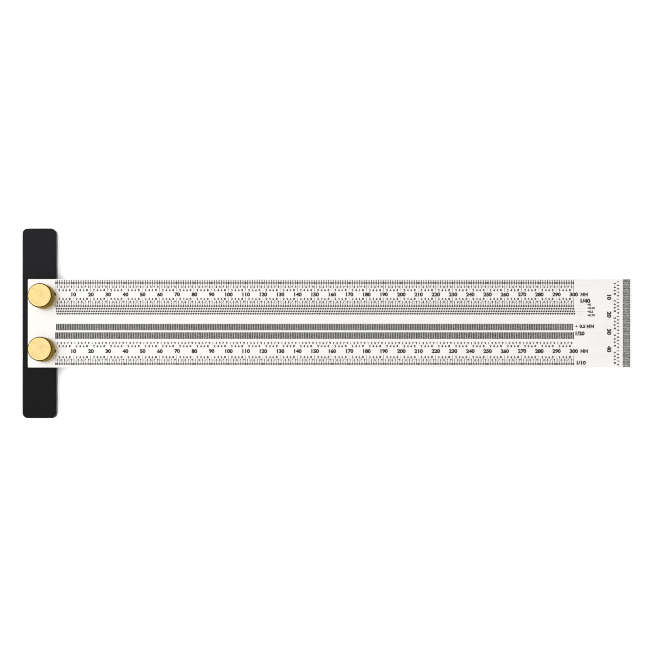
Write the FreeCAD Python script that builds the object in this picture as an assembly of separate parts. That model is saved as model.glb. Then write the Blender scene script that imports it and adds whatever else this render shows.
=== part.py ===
import FreeCAD, Part
import math
import os

# A T square for marking out: a head, a scaled blade and two thumb screws that clamp the blade
# into a pocket in the head's top.
#
# Frame: +X runs along the blade from the fence, +Y across it and +Z up. The origin is the corner
# that registers on a board: the fence plane, the blade's underside and the centreline.
# All sizes are in millimetres.

# Blade: a steel rule with slots on the millimetre lines.
SCALE_LENGTH = 300.0
BLADE_PAST_SCALE = 34.0
BLADE_WIDTH = 51.4
BLADE_THICKNESS = 1.0
BLADE_CORNER = 0.5

PITCH = 1.0                 # one graduation
SLOT_WIDTH = 0.5
SLOT_LENGTH = 3.5
HALF_STEP_ROW_Y = -2.2      # centre line of the slots that stand on the half millimetres
WHOLE_STEP_ROW_Y = -7.15    # centre line of the slots that stand on the millimetres
END_SCALE_LENGTH = 50.0     # the scale across the blade's tip
END_SLOT_LENGTH = 4.2
END_SLOT_FROM_TIP = 3.2     # from the blade's tip to the middle of an end slot

# Head: a bar whose +X face is the fence.
HEAD_LENGTH = 110.0
HEAD_WIDTH = 19.5
HEAD_HEIGHT = 6.0
HEAD_CORNER = 3.0
HEAD_CHAMFER = 0.4
LIP = 3.0                   # wall left behind the blade's end
POCKET_CLEARANCE = 0.1
POCKET_CORNER = 0.45
POCKET_BEVEL = 0.4          # broken edge round the top of the pocket

# Thumb screws: M5 x 0.8, one on each side of the centreline.
SCREW_SPACING = 30.7
SCREW_BEHIND_FENCE = 7.4
THREAD_HOLE_RADIUS = 2.5
THREAD_RADIUS = 2.45        # threads are left plain, with a running clearance in the hole
STUD_HOLE_RADIUS = 2.75
COUNTERSINK = 0.4
TIP_RECESS = 0.5            # from the stud's tip up to the head's underside
TIP_CHAMFER = 0.5
SPIGOT_RADIUS = 2.0
SPIGOT_IN_KNOB = 6.0
SHOULDER_DROP = 0.1         # play that leaves the washer free to turn on the spigot

WASHER_RADIUS = 6.8
WASHER_HOLE_RADIUS = 2.1
WASHER_THICKNESS = 0.6

KNOB_RADIUS = 7.1
KNOB_TOP_ABOVE_BLADE = 12.0
KNOB_TOP_CHAMFER = 0.8
KNOB_BOTTOM_CHAMFER = 0.2
DRILL_POINT = math.radians(59)  # half the angle of a standard drill's tip

# Heights and places that follow from them.
BLADE_TOP = BLADE_THICKNESS
HEAD_BOTTOM = BLADE_TOP - HEAD_HEIGHT
POCKET_LENGTH = HEAD_WIDTH - LIP
BLADE_START = -POCKET_LENGTH + POCKET_CLEARANCE
BLADE_TIP = SCALE_LENGTH + BLADE_PAST_SCALE
KNOB_BOTTOM = BLADE_TOP + WASHER_THICKNESS
KNOB_TOP = BLADE_TOP + KNOB_TOP_ABOVE_BLADE
SHOULDER = BLADE_TOP - SHOULDER_DROP
SCREW_X = -SCREW_BEHIND_FENCE
SCREWS = {"rear": SCREW_SPACING / 2, "front": -SCREW_SPACING / 2}

UP = FreeCAD.Vector(0, 0, 1)


def point(x, y, z=0.0):
    return FreeCAD.Vector(x, y, z)


def cylinder(radius, bottom, top, x=0.0, y=0.0):
    return Part.makeCylinder(radius, top - bottom, point(x, y, bottom), UP)


def cone(bottom_radius, top_radius, bottom, top, x=0.0, y=0.0):
    return Part.makeCone(bottom_radius, top_radius, top - bottom, point(x, y, bottom), UP)


def turned(profile):
    """Solid of revolution about Z from (radius, z) corners."""
    corners = [point(r, 0, z) for r, z in profile]
    face = Part.Face(Part.makePolygon(corners + corners[:1]))
    return face.revolve(point(0, 0), UP, 360)


def rectangle(x0, x1, y0, y1, z):
    """Closed rectangular wire in the plane at height z."""
    corners = [point(x0, y0, z), point(x1, y0, z), point(x1, y1, z), point(x0, y1, z)]
    return Part.makePolygon(corners + corners[:1])


def rounded_plate(x0, x1, y0, y1, z0, z1, radius):
    """Plate with its four upright corners rounded."""
    block = Part.makeBox(x1 - x0, y1 - y0, z1 - z0, point(x0, y0, z0))
    upright = [e for e in block.Edges if abs(e.tangentAt(e.FirstParameter).z) > 0.5]
    return block.makeFillet(radius, upright)


def graduations(first, last):
    """Places one graduation apart, from first to last."""
    return [first + step * PITCH for step in range(round((last - first) / PITCH) + 1)]


def slot_outlines():
    """Rectangles of every slot, in the plane of the blade's top."""
    half_width = SLOT_WIDTH / 2
    half_step = PITCH / 2
    rows = {
        HALF_STEP_ROW_Y: graduations(half_step, SCALE_LENGTH - half_step),
        WHOLE_STEP_ROW_Y: graduations(0, SCALE_LENGTH),
    }
    outlines = []
    for row_y, places in rows.items():
        low, high = row_y - SLOT_LENGTH / 2, row_y + SLOT_LENGTH / 2
        for x in places:
            outlines.append(rectangle(x - half_width, x + half_width, low, high, BLADE_TOP))
    middle = BLADE_TIP - END_SLOT_FROM_TIP
    near, far = middle - END_SLOT_LENGTH / 2, middle + END_SLOT_LENGTH / 2
    for y in graduations(-END_SCALE_LENGTH / 2, END_SCALE_LENGTH / 2):
        outlines.append(rectangle(near, far, y - half_width, y + half_width, BLADE_TOP))
    return outlines


def make_blade():
    """Rounded plate with the slots and the two clearance holes cut through it."""
    half = BLADE_WIDTH / 2
    plate = rounded_plate(BLADE_START, BLADE_TIP, -half, half, 0, BLADE_TOP, BLADE_CORNER)
    top = max(plate.Faces, key=lambda face: face.CenterOfMass.z)
    openings = slot_outlines()
    for y in SCREWS.values():
        openings.append(Part.Wire(Part.makeCircle(STUD_HOLE_RADIUS, point(SCREW_X, y, BLADE_TOP), UP)))
    for wire in openings:
        wire.reverse()  # a face's inner wires run the other way round from its outer wire
    return Part.Face([top.OuterWire] + openings).extrude(-UP * BLADE_THICKNESS)


def make_head():
    """Chamfered bar with the blade's pocket, open at the fence, and two tapped holes."""
    half = HEAD_LENGTH / 2
    bar = rounded_plate(-HEAD_WIDTH, 0, -half, half, HEAD_BOTTOM, BLADE_TOP, HEAD_CORNER)
    flats = [f for f in bar.Faces if abs(f.normalAt(0, 0).z) > 0.5]
    bar = bar.makeChamfer(HEAD_CHAMFER, [e for f in flats for e in f.Edges])

    pocket_half = BLADE_WIDTH / 2 + POCKET_CLEARANCE
    past_fence = 2 * POCKET_CORNER
    pocket = rounded_plate(
        -POCKET_LENGTH, past_fence, -pocket_half, pocket_half, 0, 2 * BLADE_TOP, POCKET_CORNER
    )
    wider = rounded_plate(
        -POCKET_LENGTH - POCKET_BEVEL, past_fence + POCKET_BEVEL,
        -pocket_half - POCKET_BEVEL, pocket_half + POCKET_BEVEL,
        BLADE_TOP - POCKET_BEVEL, 2 * BLADE_TOP, POCKET_CORNER + POCKET_BEVEL,
    )
    lowest = min(wider.Faces, key=lambda face: face.CenterOfMass.z)
    head = bar.cut([pocket, wider.makeChamfer(POCKET_BEVEL, lowest.Edges)])
    return head.cut([tapped_hole(SCREW_X, y) for y in SCREWS.values()])


def tapped_hole(x, y):
    """Through hole from the pocket floor to the underside, countersunk at both ends."""
    r, wide = THREAD_HOLE_RADIUS, THREAD_HOLE_RADIUS + COUNTERSINK
    hole = cylinder(r, HEAD_BOTTOM, 0, x, y)
    lower = cone(wide, r, HEAD_BOTTOM, HEAD_BOTTOM + COUNTERSINK, x, y)
    upper = cone(r, wide, -COUNTERSINK, 0, x, y)
    return hole.fuse([lower, upper])


def make_knob():
    """Turned knob with a blind hole up its middle for the stud's spigot."""
    hole_end = KNOB_BOTTOM + SPIGOT_IN_KNOB
    drill_tip = hole_end + SPIGOT_RADIUS / math.tan(DRILL_POINT)
    return turned([
        (SPIGOT_RADIUS, KNOB_BOTTOM),
        (KNOB_RADIUS - KNOB_BOTTOM_CHAMFER, KNOB_BOTTOM),
        (KNOB_RADIUS, KNOB_BOTTOM + KNOB_BOTTOM_CHAMFER),
        (KNOB_RADIUS, KNOB_TOP - KNOB_TOP_CHAMFER),
        (KNOB_RADIUS - KNOB_TOP_CHAMFER, KNOB_TOP),
        (0, KNOB_TOP),
        (0, drill_tip),
        (SPIGOT_RADIUS, hole_end),
    ])


def make_stud():
    """Stepped stud: a spigot that is pressed into the knob, and the thread below its shoulder."""
    tip = HEAD_BOTTOM + TIP_RECESS
    return turned([
        (0, tip),
        (THREAD_RADIUS - TIP_CHAMFER, tip),
        (THREAD_RADIUS, tip + TIP_CHAMFER),
        (THREAD_RADIUS, SHOULDER),
        (SPIGOT_RADIUS, SHOULDER),
        (SPIGOT_RADIUS, KNOB_BOTTOM + SPIGOT_IN_KNOB),
        (0, KNOB_BOTTOM + SPIGOT_IN_KNOB),
    ])


def make_washer():
    ring = cylinder(WASHER_RADIUS, BLADE_TOP, KNOB_BOTTOM)
    return ring.cut(cylinder(WASHER_HOLE_RADIUS, BLADE_TOP, KNOB_BOTTOM))


def build():
    """Every piece by name, where it stands with both screws done up."""
    pieces = {"head": make_head(), "blade": make_blade()}
    for side, y in SCREWS.items():
        place = point(SCREW_X, y)
        pieces[side + "_knob"] = make_knob().translated(place)
        pieces[side + "_stud"] = make_stud().translated(place)
        pieces[side + "_washer"] = make_washer().translated(place)
    return pieces


def main():
    os.makedirs("parts", exist_ok=True)
    for name, shape in build().items():
        solid = shape.Solids[0]
        assert len(shape.Solids) == 1 and solid.isValid() and solid.Volume > 0, name
        solid.exportStep(f"parts/{name}.step")
        print(f"{name}: {solid.Volume:.1f} mm3, {len(solid.Faces)} faces")


main()
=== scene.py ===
import math
from collections import namedtuple

import bmesh
import bpy
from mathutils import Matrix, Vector
from mathutils.geometry import delaunay_2d_cdt


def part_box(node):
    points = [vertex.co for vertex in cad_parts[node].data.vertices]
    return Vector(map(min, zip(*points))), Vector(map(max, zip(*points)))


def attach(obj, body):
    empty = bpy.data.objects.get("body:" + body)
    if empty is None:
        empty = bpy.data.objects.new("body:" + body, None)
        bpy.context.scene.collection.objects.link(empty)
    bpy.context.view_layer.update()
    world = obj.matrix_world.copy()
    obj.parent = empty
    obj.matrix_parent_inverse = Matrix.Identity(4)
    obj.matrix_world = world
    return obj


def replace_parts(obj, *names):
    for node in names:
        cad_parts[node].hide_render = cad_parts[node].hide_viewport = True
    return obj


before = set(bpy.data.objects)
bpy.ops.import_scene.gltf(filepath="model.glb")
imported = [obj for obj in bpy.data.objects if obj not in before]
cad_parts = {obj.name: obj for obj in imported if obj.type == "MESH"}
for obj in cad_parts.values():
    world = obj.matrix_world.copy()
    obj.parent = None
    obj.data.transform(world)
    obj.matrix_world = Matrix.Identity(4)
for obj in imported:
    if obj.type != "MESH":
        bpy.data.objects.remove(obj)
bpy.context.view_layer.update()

# The looks of a T square: a black anodised head, a steel blade with engraved scales, marking holes
# and slots, and two brass thumb screws. Shapes are worked out in millimetres, in the frame of the
# CAD model, and turned into metres when an object is made. A row's height is measured across the
# blade, up from its centreline.
MM = 0.001


def box(node):
    """Lowest and highest corners of a CAD node, in millimetres."""
    low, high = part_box(node)
    return low / MM, high / MM


BLADE_LOW, BLADE_HIGH = box("blade")
HEAD_LOW, HEAD_HIGH = box("head")
BLADE_TOP = BLADE_HIGH.z
BLADE_TIP = BLADE_HIGH.x
SIDES = ("rear", "front")
SCREWS = {side: sum(box(side + "_knob"), Vector()) / 2 for side in SIDES}
for axis in SCREWS.values():
    axis.z = 0               # a screw's place is where its axis crosses the blade's underside

# Head and blade
HEAD_CHAMFER = 0.4
BLADE_CORNER = 0.5
BLADE_EDGE = 0.12            # chamfer along the blade's outline
STUD_HOLE_RADIUS = 2.75
ROUND_STEPS = 48             # sides of a stud hole
HOLE_STEPS = 12              # sides of a marking hole
WAIST = 0.1                  # how far etched walls stand in at half the blade's thickness

# Scales along the blade
SCALE_LENGTH = 300
LABEL_STEP = 10
SLOT_WIDTH = 0.5
SLOT_LENGTH = 3.5
SLOT_ROWS = {-2.2: 0.5, -7.15: 0.0}      # row height: its step past the millimetres
HOLE_RADIUS = 0.22
CLOSE_ROWS = {9.95: 0.0, 8.45: 0.25, 6.93: 0.5, 5.55: 0.75}     # four rows of holes, likewise
EDGE_ROWS = (23.35, -23.6)   # rows on the millimetres, whose every tenth hole has a wider rim
HOLE_ROWS = {EDGE_ROWS[0]: 0.0, **CLOSE_ROWS, EDGE_ROWS[1]: 0.0}

# Scale across the blade's tip
END_SCALE = 50
END_SLOT_LENGTH = 4.2
END_SLOT_X = BLADE_TIP - 3.2

# Engraving
ENGRAVING = 0.015            # how far the black filling stands on the steel
HOLE_RIM = (0.41, 0.59)      # half width and half height of the black rim of a marking hole
TENTH_RIM = (0.58, 0.6)
SLOT_RIM = 0.15              # black border round a slot
END_SLOT_RIM = (0.03, 0.17)  # the same round a slot at the tip: past its ends and along its sides
EVEN, ODD = (2, 4, 6, 8), (1, 3, 5, 7, 9)
DIGIT_HEIGHT = 1.45
EDGE_DIGIT_HEIGHT = 1.35     # digits next to the rows of holes along the blade's edges
DIGIT_ROWS = [               # height of the row, the digits in it and how tall they are
    (20.95, ODD, EDGE_DIGIT_HEIGHT),
    (19.2, EVEN, DIGIT_HEIGHT),
    (14.15, EVEN, DIGIT_HEIGHT),
    (12.45, ODD, DIGIT_HEIGHT),
    (-11.5, ODD, DIGIT_HEIGHT),
    (-13.25, EVEN, DIGIT_HEIGHT),
    (-19.6, EVEN, DIGIT_HEIGHT),
    (-21.2, ODD, EDGE_DIGIT_HEIGHT),
]
LABEL_HEIGHT = 2.4
LABEL_ROWS = (16.7, -16.15)
LABEL_SHIFT = 0.3            # labels stand a little past their line
ZERO_SHIFT = -0.9            # and the zero stands before it
TEXT_WEIGHT = 0.06           # how far the font's outlines are thickened, at its size of one unit
TEXT_RESOLUTION = 4          # steps of a curve: with these, that weight leaves every figure whole
TEXT_STRETCH = 1.1           # how much wider texts are than in the font
TEXT_DEPTH = 0.01            # any depth does, because stamping a text sets its own
WELD_DISTANCE = 1e-5         # points of a text this close become one

# Thumb screws
KNURL_RIDGES = 64
KNURL_DEPTH = 0.25
KNURL_COLUMNS = 6            # columns of points per ridge
KNOB_TOP_CHAMFER = 0.8
KNOB_BOTTOM_CHAMFER = 0.2
FACE_ROUND = 0.5             # radius where the knob's face meets its chamfer
FACE_BORDER = 1.0            # width of the outermost flat ring of the face
ROUND_RINGS = 4
SPIGOT_RADIUS = 2.0
SPIGOT_END = 7.6
DRILL_POINT = math.radians(59)   # half the angle of a standard drill's tip
THREAD_PITCH = 0.8
THREAD_DEPTH = 0.45
THREAD_COLUMNS = 48
THREAD_RINGS = 12            # rings of points per turn
TIP_CHAMFER = 0.5
SHOULDER_DROP = 0.1


class Shape:
    """Vertices, in millimetres, and faces, gathered until they become one object."""

    def __init__(self):
        self.vertices = []
        self.faces = []
        self.kinds = []      # material index of each face

    def add(self, vertices, faces, kind=0):
        start = len(self.vertices)
        self.vertices.extend(vertices)
        self.faces.extend([start + i for i in face] for face in faces)
        self.kinds.extend([kind] * len(faces))

    def prism(self, outline, bottom=BLADE_TOP, top=BLADE_TOP + ENGRAVING):
        """Closed prism over an outline that runs anticlockwise."""
        n = len(outline)
        ring = [(x, y, bottom) for x, y in outline] + [(x, y, top) for x, y in outline]
        sides = [(i, (i + 1) % n, n + (i + 1) % n, n + i) for i in range(n)]
        self.add(ring, [tuple(range(n))[::-1], tuple(range(n, 2 * n))] + sides)

    def ring(self, inner, outer, bottom=BLADE_TOP, top=BLADE_TOP + ENGRAVING):
        """Closed flat ring between two outlines with the same number of points."""
        loops = [
            self.loop(outline, z)
            for outline, z in ((inner, bottom), (outer, bottom), (outer, top), (inner, top))
        ]
        for lower, upper in zip(loops, loops[1:] + loops[:1]):
            self.bridge(lower, upper)

    def loop(self, outline, z):
        """Adds a loop of points at one height and returns their numbers."""
        start = len(self.vertices)
        self.vertices.extend((x, y, z) for x, y in outline)
        return list(range(start, start + len(outline)))

    def bridge(self, lower, upper, kind=0):
        """Wall from one loop of points up to the next, facing out where they run anticlockwise."""
        n = len(lower)
        for i in range(n):
            j = (i + 1) % n
            self.faces.append([lower[i], lower[j], upper[j], upper[i]])
            self.kinds.append(kind)

    def fan(self, loop, centre, kind=0):
        """Triangles from a loop to one point, facing up where the loop runs anticlockwise."""
        tip = len(self.vertices)
        self.vertices.append(centre)
        n = len(loop)
        self.faces.extend([loop[i], loop[(i + 1) % n], tip] for i in range(n))
        self.kinds.extend([kind] * n)

    def build(self, name, body, materials, slot=None, place=(0, 0, 0), smooth=False):
        """Object made of the gathered faces, riding on a body."""
        mesh = bpy.data.meshes.new(name)
        mesh.from_pydata([Vector(v) * MM for v in self.vertices], [], self.faces)
        for material in materials:
            mesh.materials.append(material)
        mesh.polygons.foreach_set("material_index", self.kinds)
        mesh.polygons.foreach_set("use_smooth", [smooth] * len(self.faces))
        mesh.validate()
        piece = bpy.data.objects.new(name, mesh)
        piece.location = Vector(place) * MM
        bpy.context.scene.collection.objects.link(piece)
        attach(piece, body)
        return piece


# Outlines, all anticlockwise

def rectangle(x, y, width, height):
    """Corners of a rectangle about its middle."""
    w, h = width / 2, height / 2
    return [(x - w, y - h), (x + w, y - h), (x + w, y + h), (x - w, y + h)]


def ellipse(x, y, half_width, half_height, steps):
    turns = [2 * math.pi * (i + 0.5) / steps for i in range(steps)]
    return [(x + half_width * math.cos(a), y + half_height * math.sin(a)) for a in turns]


def circle(x, y, radius, steps):
    return ellipse(x, y, radius, radius, steps)


def rounded_rectangle(x0, x1, y0, y1, radius, steps=6):
    middles = [(x1, y1, -1, -1), (x0, y1, 1, -1), (x0, y0, 1, 1), (x1, y0, -1, 1)]
    points = []
    for quarter, (x, y, inward_x, inward_y) in enumerate(middles):
        for step in range(steps + 1):
            angle = math.pi / 2 * (quarter + step / steps)
            points.append((
                x + inward_x * radius + radius * math.cos(angle),
                y + inward_y * radius + radius * math.sin(angle),
            ))
    return points


# Where the openings are

def scale_steps(offset):
    """Places along the long scales, each an offset past one of their millimetres."""
    return [i + offset for i in range(SCALE_LENGTH + 1)]


def long_scale_slots(margin):
    """Outlines of the slots of the long scales, each widened by a margin."""
    return [
        rectangle(x, y, SLOT_WIDTH + 2 * margin, SLOT_LENGTH + 2 * margin)
        for y, offset in SLOT_ROWS.items()
        for x in scale_steps(offset) if x <= SCALE_LENGTH
    ]


def end_scale_slots(past_ends, beside):
    """Outlines of the slots across the tip, lengthened and widened by two margins."""
    length = END_SLOT_LENGTH + 2 * past_ends
    width = SLOT_WIDTH + 2 * beside
    return [rectangle(END_SLOT_X, i - END_SCALE / 2, length, width) for i in range(END_SCALE + 1)]


def slots(margin=0.0):
    """Outlines of every slot, each widened by a margin."""
    return long_scale_slots(margin) + end_scale_slots(margin, margin)


def holes(margin=0.0):
    """Outlines of the marking holes, each widened by a margin."""
    return [
        circle(x, y, HOLE_RADIUS + margin, HOLE_STEPS)
        for y, offset in HOLE_ROWS.items()
        for x in scale_steps(offset)
    ]


# Blade

HULL_TRIANGLES = 0           # asks the triangulation to cover the whole hull of its points
CLOSEST_POINTS = 1e-7        # how close two points may be before it merges them


def perforated(outline, openings):
    """Triangles over an outline less its openings, with the point numbers round each loop."""
    points, loops = [], []
    for loop in [outline] + openings:
        loops.append(list(range(len(points), len(points) + len(loop))))
        points += loop
    vectors = [Vector(p) for p in points]
    found = delaunay_2d_cdt(vectors, [], loops, HULL_TRIANGLES, CLOSEST_POINTS, True)
    _, _, faces, came_from, _, covered_by = found
    triangles = [
        [came_from[i][0] for i in face]
        for face, over in zip(faces, covered_by) if over == [0]
    ]
    return points, triangles, loops


def make_blade(steel, cut_steel):
    """Flat plate with a fine chamfer round its edge and every hole and slot cut through it."""
    low, high, edge = BLADE_LOW, BLADE_HIGH, BLADE_EDGE
    rim = rounded_rectangle(low.x, high.x, low.y, high.y, BLADE_CORNER)
    inset = rounded_rectangle(
        low.x + edge, high.x - edge, low.y + edge, high.y - edge, BLADE_CORNER - edge
    )
    stud_holes = [circle(c.x, c.y, STUD_HOLE_RADIUS, ROUND_STEPS) for c in SCREWS.values()]
    points, triangles, loops = perforated(inset, stud_holes + slots() + holes())

    plate = Shape()
    count = len(points)
    plate.add(
        [(x, y, high.z) for x, y in points] + [(x, y, low.z) for x, y in points],
        triangles + [[count + i for i in reversed(t)] for t in triangles],
    )
    walls = [None] * len(stud_holes) + slots(-WAIST) + holes(-WAIST)
    for upper, waist in zip(loops[1:], walls):
        lower = [count + i for i in upper]
        if waist:
            middle = plate.loop(waist, (low.z + high.z) / 2)
            plate.bridge(upper, middle, kind=1)
            plate.bridge(middle, lower, kind=1)
        else:
            plate.bridge(upper, lower, kind=1)
    edges = [
        [count + i for i in loops[0]],
        plate.loop(rim, low.z + edge),
        plate.loop(rim, high.z - edge),
        loops[0],
    ]
    for lower, upper in zip(edges, edges[1:]):
        plate.bridge(lower, upper)
    piece = plate.build("blade_plate", "square", [steel, cut_steel], "stainless_steel")
    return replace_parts(piece, "blade")


# Engraving

# Upright lines of the two long scales: one every so many millimetres, from one height down to
# another. The lines every ten millimetres stand in for any others that fall there.
Line = namedtuple("Line", "every top bottom width")
LINES = [
    Line(1, 25.2, 23.9, 0.36),
    Line(10, 25.2, 23.9, 0.36),
    Line(1, 22.8, 21.6, 0.24),
    Line(2, 21.5, 20.1, 0.14),
    Line(10, 22.8, 18.4, 0.25),
    Line(2, 13.0, 11.8, 0.14),
    Line(1, 11.8, 10.5, 0.28),
    Line(10, 14.9, 10.5, 0.25),
    Line(2, -20.4, -22.0, 0.14),
    Line(1, -22.0, -23.0, 0.28),
    Line(10, -18.6, -23.0, 0.25),
]


def engrave_lines(black):
    """Every line of the long scales."""
    lines = Shape()
    for line in LINES:
        middle, length = (line.top + line.bottom) / 2, line.top - line.bottom
        for x in range(0, SCALE_LENGTH + 1, line.every):
            if line.every == LABEL_STEP or x % LABEL_STEP:
                lines.prism(rectangle(x, middle, line.width, length))
    lines.build("scale_lines", "square", [black])


def engrave_rims(black):
    """Black borders round the marking holes and the slots."""
    rims = Shape()
    for y, offset in HOLE_ROWS.items():
        for x in scale_steps(offset):
            rim = TENTH_RIM if y in EDGE_ROWS and x % LABEL_STEP == 0 else HOLE_RIM
            rims.ring(circle(x, y, HOLE_RADIUS, HOLE_STEPS), ellipse(x, y, *rim, HOLE_STEPS))
    rims.build("hole_rims", "square", [black])
    borders = Shape()
    outlines = long_scale_slots(SLOT_RIM) + end_scale_slots(*END_SLOT_RIM)
    for inner, outer in zip(slots(), outlines):
        borders.ring(inner, outer)
    borders.build("slot_borders", "square", [black])


class Figures:
    """Figures and words, each cut once from the built-in font and stamped where it is needed."""

    def __init__(self):
        self.cut = {}
        self.shape = Shape()

    def template(self, text):
        """Closed shallow solid of a text one unit high, centred, with its bottom at zero."""
        if text in self.cut:
            return self.cut[text]
        curve = bpy.data.curves.new("figures", "FONT")
        curve.body = text
        curve.align_x = curve.align_y = "CENTER"
        curve.extrude = TEXT_DEPTH
        curve.offset = TEXT_WEIGHT
        curve.resolution_u = TEXT_RESOLUTION
        holder = bpy.data.objects.new("figures", curve)
        bpy.context.scene.collection.objects.link(holder)
        shown = holder.evaluated_get(bpy.context.evaluated_depsgraph_get())
        mesh = bpy.data.meshes.new_from_object(shown)
        solid = bmesh.new()
        solid.from_mesh(mesh)
        bmesh.ops.remove_doubles(solid, verts=solid.verts, dist=WELD_DISTANCE)
        corners = [v.co.copy() for v in solid.verts]
        faces = [[v.index for v in face.verts] for face in solid.faces]
        solid.free()
        bpy.data.objects.remove(holder)
        bpy.data.curves.remove(curve)
        bpy.data.meshes.remove(mesh)
        low = Vector(map(min, zip(*corners)))
        high = Vector(map(max, zip(*corners)))
        middle, tall = (low + high) / 2, high.y - low.y
        vertices = [
            ((v.x - middle.x) / tall * TEXT_STRETCH, (v.y - middle.y) / tall, v.z > middle.z)
            for v in corners
        ]
        self.cut[text] = vertices, faces
        return self.cut[text]

    def stamp(self, text, x, y, height, turn=0.0):
        """Puts a text with its middle at (x, y), turned clockwise."""
        vertices, faces = self.template(text)
        c, s = math.cos(turn) * height, math.sin(turn) * height
        self.shape.add(
            [(x + u * c + v * s, y - u * s + v * c, BLADE_TOP + ENGRAVING * up)
             for u, v, up in vertices],
            faces,
        )


def engrave_figures(black):
    """Figures of the long scales."""
    figures = Figures()
    for start in range(0, SCALE_LENGTH, LABEL_STEP):
        for y, steps, height in DIGIT_ROWS:
            for step in steps:
                figures.stamp(str(step), start + step, y, height)
    for place in range(LABEL_STEP, SCALE_LENGTH + 1, LABEL_STEP):
        for y in LABEL_ROWS:
            figures.stamp(str(place), place + LABEL_SHIFT, y, LABEL_HEIGHT)
    for y in LABEL_ROWS:
        figures.stamp("0", ZERO_SHIFT, y, LABEL_HEIGHT)
    figures.shape.build("scale_figures", "square", [black])


# Text past the end of the long scales: what it says, the place of its middle and its height.
NOTES = [
    ("1/40", 307.0, 13.0, 2.6),
    ("+0", 309.2, 10.8, 1.45),
    ("+0.25", 310.3, 8.8, 1.45),
    ("+0.5", 309.8, 6.7, 1.45),
    ("+0.75", 310.3, 4.6, 1.45),
    ("+", 301.8, -1.8, 1.2),
    ("0.5", 305.3, -1.8, 2.1),
    ("1/20", 303.9, -5.9, 2.4),
    ("1/10", 304.6, -22.9, 2.4),
]
UNIT_PLACES = [(306.3, 16.7), (309.9, -1.8), (306.3, -16.15)]
UNIT_HEIGHT = 2.2
UNIT_STEP = 2.2              # from one M to the next
LETTER_M = [                 # outline of an M one unit high
    (-0.47, -0.5), (-0.2, -0.5), (-0.2, 0.02), (0, -0.4), (0.2, 0.02), (0.2, -0.5),
    (0.47, -0.5), (0.47, 0.5), (0.24, 0.5), (0, 0.02), (-0.24, 0.5), (-0.47, 0.5),
]
END_LABEL_HEIGHT = 2.6
END_LABEL_X = BLADE_TIP - 13.2
END_DIGIT_COLUMNS = {BLADE_TIP - 9.9: EVEN, BLADE_TIP - 8.1: ODD}
LEADER_X = (301.8, 307.4)
LEADER_WIDTH = 0.18
LEADER_STEPS = 14


def engrave_notes(black):
    """Notes at the end of the long scales, and the figures across the tip, which read downwards."""
    units = Shape()
    for x, y in UNIT_PLACES:
        for middle in (x - UNIT_STEP / 2, x + UNIT_STEP / 2):
            units.prism([(middle + u * UNIT_HEIGHT, y + v * UNIT_HEIGHT) for u, v in LETTER_M])
    units.build("scale_units", "square", [black])
    notes = Figures()
    for text, x, y, height in NOTES:
        notes.stamp(text, x, y, height)
    down = math.pi / 2
    for start in range(0, END_SCALE, LABEL_STEP):
        y = END_SCALE / 2 - start
        if start:
            notes.stamp(str(start), END_LABEL_X, y, END_LABEL_HEIGHT, down)
        for x, steps in END_DIGIT_COLUMNS.items():
            for step in steps:
                notes.stamp(str(step), x, y - step, DIGIT_HEIGHT, down)
    notes.shape.build("scale_notes", "square", [black])


def engrave_leaders(grey):
    """Thin curved lines that lead from the four close rows of holes to their notes."""
    leaders = Shape()
    x0, x1 = LEADER_X
    targets = [y for text, x, y, height in NOTES if text.startswith("+0")]
    for start, end in zip(CLOSE_ROWS, targets):
        path = []
        for i in range(LEADER_STEPS + 1):
            t = i / LEADER_STEPS
            eased = t * t * (3 - 2 * t)
            path.append((x0 + (x1 - x0) * t, start + (end - start) * eased))
        upper = [(x, y + LEADER_WIDTH / 2) for x, y in path]
        lower = [(x, y - LEADER_WIDTH / 2) for x, y in path]
        leaders.prism(lower + upper[::-1])
    leaders.build("note_leaders", "square", [grey])


# Thumb screws

# A ring of points about a screw's axis. Relief is the depth of the knurl or thread cut into it.
Ring = namedtuple("Ring", "radius z relief kind", defaults=(0.0, 0))
FACE, SIDE = 0, 1            # the knob's two finishes


def turned(shape, rings, columns, radius_at, first_z, last_z):
    """Closed skin over rings in order, from a point on the axis to another."""
    loops = []
    for ring in rings:
        angles = [2 * math.pi * i / columns for i in range(columns)]
        radii = [radius_at(ring, angle) for angle in angles]
        points = [(r * math.cos(a), r * math.sin(a)) for r, a in zip(radii, angles)]
        loops.append(shape.loop(points, ring.z))
    shape.fan(loops[0][::-1], (0, 0, first_z), rings[0].kind)
    for ring, lower, upper in zip(rings[1:], loops, loops[1:]):
        shape.bridge(lower, upper, ring.kind)
    shape.fan(loops[-1], (0, 0, last_z), rings[-1].kind)


def knob_rings(radius, bottom, top):
    """Rings of a knob from the end of its blind hole, down the hole and up the outside."""
    brow = radius - KNOB_TOP_CHAMFER
    rings = [
        Ring(SPIGOT_RADIUS, SPIGOT_END),
        Ring(SPIGOT_RADIUS, bottom),
        Ring(radius - KNOB_BOTTOM_CHAMFER, bottom),
        Ring(radius, bottom + KNOB_BOTTOM_CHAMFER, KNURL_DEPTH, FACE),
        Ring(radius, top - KNOB_TOP_CHAMFER, KNURL_DEPTH, SIDE),
        Ring(radius - KNURL_DEPTH, top - KNOB_TOP_CHAMFER + KNURL_DEPTH, 0, SIDE),
    ]
    reach = FACE_ROUND * math.tan(math.pi / 8)
    for step in range(ROUND_RINGS + 1):
        angle = math.pi / 4 * (1 + step / ROUND_RINGS)
        rings.append(Ring(
            brow - reach + FACE_ROUND * math.cos(angle),
            top - FACE_ROUND * (1 - math.sin(angle)),
            kind=FACE if step else SIDE,
        ))
    rings.append(Ring(brow - FACE_BORDER, top))
    return rings


def knurled(ring, angle):
    """Radius of a ring whose edge is cut by a straight knurl."""
    return ring.radius - ring.relief * (1 - math.cos(KNURL_RIDGES * angle)) / 2


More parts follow.
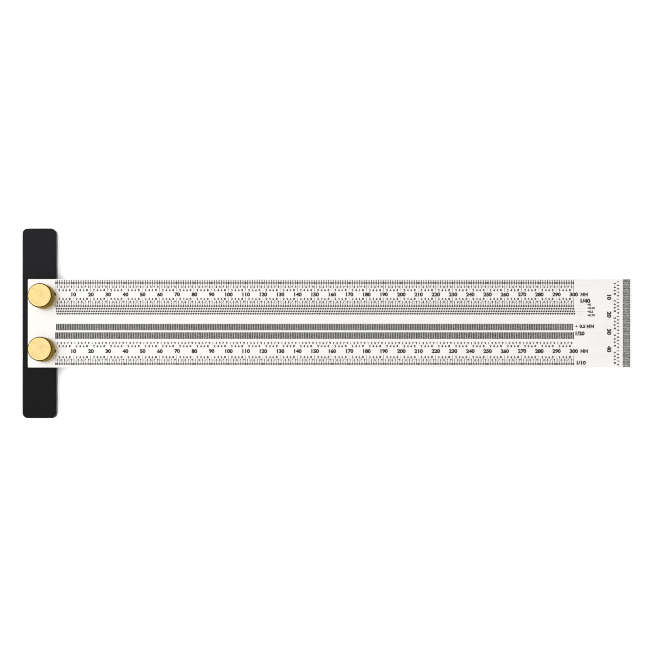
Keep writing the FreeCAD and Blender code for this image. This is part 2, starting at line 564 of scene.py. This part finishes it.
def make_knob(side, brass, knurled_brass):
    """Brass knob with a straight knurl between its chamfers."""
    node = side + "_knob"
    low, high = box(node)
    radius = (high.x - low.x) / 2
    hole_tip = SPIGOT_END + SPIGOT_RADIUS / math.tan(DRILL_POINT)
    shape = Shape()
    rings = knob_rings(radius, low.z, high.z)
    turned(shape, rings, KNURL_RIDGES * KNURL_COLUMNS, knurled, hole_tip, high.z)
    piece = shape.build(
        side + "_knob_turned", side + "_screw", [brass, knurled_brass], "brass", SCREWS[side]
    )
    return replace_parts(piece, node)


def stud_rings(radius, tip, end):
    """Rings of a stud from its tip up the thread, over the shoulder and up the spigot."""
    shoulder = BLADE_TOP - SHOULDER_DROP
    count = round((shoulder - tip) / THREAD_PITCH * THREAD_RINGS)
    rings = []
    for i in range(count + 1):
        z = tip + (shoulder - tip) * i / count
        limit = min(radius, radius - TIP_CHAMFER + z - tip)
        fade = min(1.0, (shoulder - z) / THREAD_PITCH)
        rings.append(Ring(limit, z, THREAD_DEPTH * fade))
    return rings + [Ring(SPIGOT_RADIUS, shoulder), Ring(SPIGOT_RADIUS, end)]


def make_stud(side, plating):
    """Plated stud with its thread cut."""
    node = side + "_stud"
    low, high = box(node)
    radius = (high.x - low.x) / 2

    def threaded(ring, angle):
        turn = (ring.z / THREAD_PITCH - angle / (2 * math.pi)) % 1
        return min(ring.radius, radius - ring.relief * abs(2 * turn - 1))

    shape = Shape()
    turned(shape, stud_rings(radius, low.z, high.z), THREAD_COLUMNS, threaded, low.z, high.z)
    piece = shape.build(
        side + "_stud_threaded", side + "_screw", [plating], "plated_steel", SCREWS[side]
    )
    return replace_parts(piece, node)


# Finishes

MIX_DARK, MIX_LIGHT, MIX_RESULT = 6, 7, 2    # sockets of a mix of two colours


class Finish:
    """A Principled material and short ways to vary it over the surface."""

    def __init__(self, name, colour, roughness, metallic=0.0, specular=0.5):
        self.material = bpy.data.materials.new(name)
        self.material.use_nodes = True
        self.tree = self.material.node_tree
        self.shader = self.tree.nodes["Principled BSDF"]
        self.shader.inputs["Base Color"].default_value = (*colour, 1)
        self.shader.inputs["Roughness"].default_value = roughness
        self.shader.inputs["Metallic"].default_value = metallic
        self.shader.inputs["Specular IOR Level"].default_value = specular
        self.place = self.node("ShaderNodeTexCoord").outputs["Object"]

    def node(self, kind, **values):
        """New node; values are its properties, or its inputs where the name starts with a capital."""
        made = self.tree.nodes.new(kind)
        for name, value in values.items():
            if name[0].isupper():
                made.inputs[name.replace("_", " ")].default_value = value
            else:
                setattr(made, name, value)
        return made

    def link(self, start, end):
        self.tree.links.new(start, end)

    def noise(self, per_metre, detail=3.0):
        """Noise with its own number of features per metre along each axis."""
        scaled = self.node("ShaderNodeMapping", Scale=per_metre)
        cloud = self.node("ShaderNodeTexNoise", Scale=1.0, Detail=detail)
        self.link(self.place, scaled.inputs["Vector"])
        self.link(scaled.outputs["Vector"], cloud.inputs["Vector"])
        return cloud.outputs["Fac"]

    def spread(self, value, low, high, from_low=0.3, from_high=0.7):
        """The value stretched from one range to another."""
        scaled = self.node("ShaderNodeMapRange", From_Min=from_low, From_Max=from_high)
        scaled.inputs["To Min"].default_value = low
        scaled.inputs["To Max"].default_value = high
        self.link(value, scaled.inputs["Value"])
        return scaled.outputs["Result"]

    def tint(self, value, dark, light):
        """Colour between two, by a value from 0 to 1."""
        mix = self.node("ShaderNodeMix", data_type="RGBA")
        mix.inputs[MIX_DARK].default_value = (*dark, 1)
        mix.inputs[MIX_LIGHT].default_value = (*light, 1)
        self.link(value, mix.inputs["Factor"])
        self.link(mix.outputs[MIX_RESULT], self.shader.inputs["Base Color"])

    def roughen(self, value, low, high):
        self.link(self.spread(value, low, high), self.shader.inputs["Roughness"])

    def emboss(self, value, height):
        """Relief of a given height, in metres."""
        bump = self.node("ShaderNodeBump", Strength=1.0, Distance=height)
        self.link(value, bump.inputs["Height"])
        self.link(bump.outputs["Normal"], self.shader.inputs["Normal"])


def brushed_steel():
    """Stainless steel brushed along the blade."""
    finish = Finish("brushed_steel", (0.65, 0.635, 0.614), 0.22, metallic=0.8)
    brushing = finish.noise((40, 6000, 400), detail=4.0)
    clouds = finish.noise((60, 60, 60))
    finish.tint(finish.spread(clouds, 0, 1), (0.635, 0.62, 0.6), (0.665, 0.65, 0.628))
    finish.roughen(brushing, 0.18, 0.26)
    finish.emboss(brushing, 0.000002)
    return finish.material


def cut_steel():
    """Dull wall of a hole or slot, dark with painted shade."""
    # Painted shade: the walls are nearly black so that the holes and slots look dark inside.
    finish = Finish("cut_steel", (0.05, 0.046, 0.042), 0.6, metallic=0.6)
    finish.roughen(finish.noise((4000, 4000, 1500)), 0.5, 0.7)
    return finish.material


def black_filling():
    """Matt black filling of the engraved lines and figures."""
    finish = Finish("black_filling", (0.012, 0.012, 0.013), 0.7, specular=0.2)
    grain = finish.noise((5000, 5000, 5000))
    finish.tint(finish.spread(grain, 0, 1), (0.009, 0.009, 0.01), (0.018, 0.018, 0.019))
    return finish.material


def grey_filling():
    """Faint filling of the thin leader lines."""
    finish = Finish("grey_filling", (0.34, 0.33, 0.32), 0.6, specular=0.2)
    grain = finish.noise((5000, 5000, 5000))
    finish.tint(finish.spread(grain, 0, 1), (0.31, 0.3, 0.29), (0.37, 0.36, 0.35))
    return finish.material


def black_anodised():
    """Fine bead-blasted aluminium, anodised black, with random clouds of tone and painted shade that
    darkens it towards the front end.
    """
    finish = Finish("black_anodised", (0.003, 0.003, 0.0035), 0.45, specular=0.08)
    grain = finish.noise((6000, 6000, 6000), detail=2.0)
    clouds = finish.noise((90, 90, 90))
    across = finish.node("ShaderNodeSeparateXYZ")
    finish.link(finish.place, across.inputs["Vector"])
    # Painted shade: a colour gradient across the head, darker at its front end and lighter at its
    # back end, standing in for the fall of the light.
    fade = finish.spread(across.outputs["Y"], 0, 1, HEAD_LOW.y * MM, HEAD_HIGH.y * MM)
    cloud_share = 0.2
    clouds_and_painted_shade = finish.node("ShaderNodeMath", operation="MULTIPLY_ADD")
    clouds_and_painted_shade.inputs[1].default_value = cloud_share
    finish.link(clouds, clouds_and_painted_shade.inputs[0])
    finish.link(fade, clouds_and_painted_shade.inputs[2])
    finish.tint(clouds_and_painted_shade.outputs["Value"], (0.0003, 0.0003, 0.0004), (0.0045, 0.004, 0.0052))
    finish.roughen(grain, 0.4, 0.52)
    finish.emboss(grain, 0.000004)
    return finish.material


def turned_brass():
    """Brass face with the fine rings of a lathe tool."""
    finish = Finish("turned_brass", (0.54, 0.412, 0.18), 0.3, metallic=1.0)
    rings = finish.node(
        "ShaderNodeTexWave", wave_type="RINGS", rings_direction="Z", Scale=2600.0,
        Distortion=1.0, Detail=1.0,
    )
    finish.link(finish.place, rings.inputs["Vector"])
    clouds = finish.noise((500, 500, 500), detail=5.0)
    finish.tint(finish.spread(clouds, 0, 1), (0.51, 0.388, 0.16), (0.57, 0.436, 0.2))
    finish.roughen(clouds, 0.27, 0.38)
    finish.emboss(rings.outputs["Fac"], 0.000002)
    return finish.material


def knurled_brass(radius):
    """Knurled brass, a darker copy of the face's brass, darkest in the grooves and lighter on the
    ridges: partly tarnish, partly painted shade.
    """
    finish = Finish("knurled_brass", (0.3, 0.22, 0.09), 0.45, metallic=1.0)
    flat = finish.node("ShaderNodeVectorMath", operation="MULTIPLY")
    flat.inputs[1].default_value = (1, 1, 0)
    length = finish.node("ShaderNodeVectorMath", operation="LENGTH")
    finish.link(finish.place, flat.inputs[0])
    finish.link(flat.outputs["Vector"], length.inputs[0])
    # Painted shade, partly tarnish: the colour darkens from the ridges into the grooves.
    depth = finish.spread(
        length.outputs["Value"], 0, 1, (radius - KNURL_DEPTH) * MM, radius * MM
    )
    finish.tint(depth, (0.055, 0.038, 0.008), (0.35, 0.25, 0.078))
    finish.shader.inputs["Specular Tint"].default_value = (0.85, 0.66, 0.36, 1)
    finish.roughen(finish.noise((2500, 2500, 2500)), 0.38, 0.52)
    return finish.material


def zinc_plating():
    """Bright zinc plating on steel."""
    finish = Finish("zinc_plating", (0.56, 0.56, 0.55), 0.3, metallic=1.0)
    clouds = finish.noise((900, 900, 900))
    finish.tint(finish.spread(clouds, 0, 1), (0.52, 0.52, 0.5), (0.6, 0.6, 0.6))
    finish.roughen(clouds, 0.25, 0.36)
    return finish.material


# Studio

CAMERA = (156.3, -54.0, 913.0)     # the height is above the blade's top
VIEW_MIDDLE_Y = -1.3
LENS = 87.07
SENSOR = 36.0
FLOOR_SIZE = 12000
FLOOR_GAP = 0.02                   # how far below the square the floor lies
PIXEL_FILTER = 1.0                 # pixels over which the picture is smoothed

# Brightness of the sky dome. The height of a direction is the sine of its elevation.
HAZE, HORIZON, RING, ZENITH = 1.1, 0.4, 3.2, 1.25
HAZE_FALL = (0.06, 0.25)           # heights over which the haze ends
RING_RISE = (0.35, 0.75)           # heights over which it grows from the horizon's to the ring's
ZENITH_FALL = (0.86, 0.96)         # heights over which it falls to the zenith's
FENCE_SIDE_GAIN = 0.35             # how much brighter it is towards -X


def make_floor():
    """White floor that the square rests on with the foot of its fence and its blade's tip."""
    foot_x = HEAD_HIGH.x - HEAD_CHAMFER
    slope = (BLADE_LOW.z - HEAD_LOW.z) / (BLADE_TIP - foot_x)
    half = FLOOR_SIZE / 2
    corners = [(-half, -half), (half, -half), (half, half), (-half, half)]
    middle = CAMERA[0]
    vertices = []
    for x, y in corners:
        z = HEAD_LOW.z - FLOOR_GAP + slope * (middle + x - foot_x)
        vertices.append(Vector((middle + x, y, z)) * MM)
    mesh = bpy.data.meshes.new("floor")
    mesh.from_pydata(vertices, [], [(0, 1, 2, 3)])
    paper = Finish("white_paper", (0.9, 0.9, 0.9), 0.9, specular=0.1)
    mesh.materials.append(paper.material)
    floor = bpy.data.objects.new("floor", mesh)
    bpy.context.scene.collection.objects.link(floor)


def make_sky():
    """Soft dome: a bright ring round a calmer zenith, and haze on a dim horizon."""
    world = bpy.data.worlds.new("dome")
    bpy.context.scene.world = world
    world.use_nodes = True
    tree = world.node_tree
    background = tree.nodes["Background"]
    background.inputs["Color"].default_value = (1, 1, 1, 1)
    direction = tree.nodes.new("ShaderNodeTexCoord")
    parts = tree.nodes.new("ShaderNodeSeparateXYZ")
    tree.links.new(direction.outputs["Generated"], parts.inputs["Vector"])

    def eased(source, span, low, high):
        ramp = tree.nodes.new("ShaderNodeMapRange")
        ramp.interpolation_type = "SMOOTHSTEP"
        for name, value in zip(("From Min", "From Max", "To Min", "To Max"), (*span, low, high)):
            ramp.inputs[name].default_value = value
        tree.links.new(parts.outputs[source], ramp.inputs["Value"])
        return ramp.outputs["Result"]

    def combined(operation, first, second):
        made = tree.nodes.new("ShaderNodeMath")
        made.operation = operation
        tree.links.new(first, made.inputs[0])
        tree.links.new(second, made.inputs[1])
        return made.outputs["Value"]

    dome = eased("Z", RING_RISE, HORIZON, RING)
    dome = combined("ADD", dome, eased("Z", ZENITH_FALL, 0, ZENITH - RING))
    dome = combined("ADD", dome, eased("Z", HAZE_FALL, HAZE, 0))
    gain = eased("X", (-1, 1), 1 + FENCE_SIDE_GAIN, 1 - FENCE_SIDE_GAIN)
    tree.links.new(combined("MULTIPLY", dome, gain), background.inputs["Strength"])


def make_camera():
    """Camera looking straight down, from nearer the front than the middle of its picture is."""
    x, y, above = CAMERA
    data = bpy.data.cameras.new("camera")
    data.lens = LENS
    data.sensor_width = SENSOR
    data.shift_y = (VIEW_MIDDLE_Y - y) / (SENSOR / LENS * above)
    camera = bpy.data.objects.new("camera", data)
    camera.location = Vector((x, y, BLADE_TOP + above)) * MM
    bpy.context.scene.collection.objects.link(camera)
    bpy.context.scene.camera = camera


def make_pieces():
    steel, black, plating = brushed_steel(), black_filling(), zinc_plating()
    brass = turned_brass()
    knob_low, knob_high = box("rear_knob")
    knurl = knurled_brass((knob_high.x - knob_low.x) / 2)
    make_blade(steel, cut_steel())
    engrave_lines(black)
    engrave_rims(black)
    engrave_figures(black)
    engrave_notes(black)
    engrave_leaders(grey_filling())
    for side in SIDES:
        make_knob(side, brass, knurl)
        make_stud(side, plating)
        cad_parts[side + "_washer"].material_slots[0].material = plating
    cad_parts["head"].material_slots[0].material = black_anodised()


make_camera()
make_sky()
make_floor()
make_pieces()
bpy.context.scene.view_settings.view_transform = "Standard"
bpy.context.scene.cycles.filter_width = PIXEL_FILTER
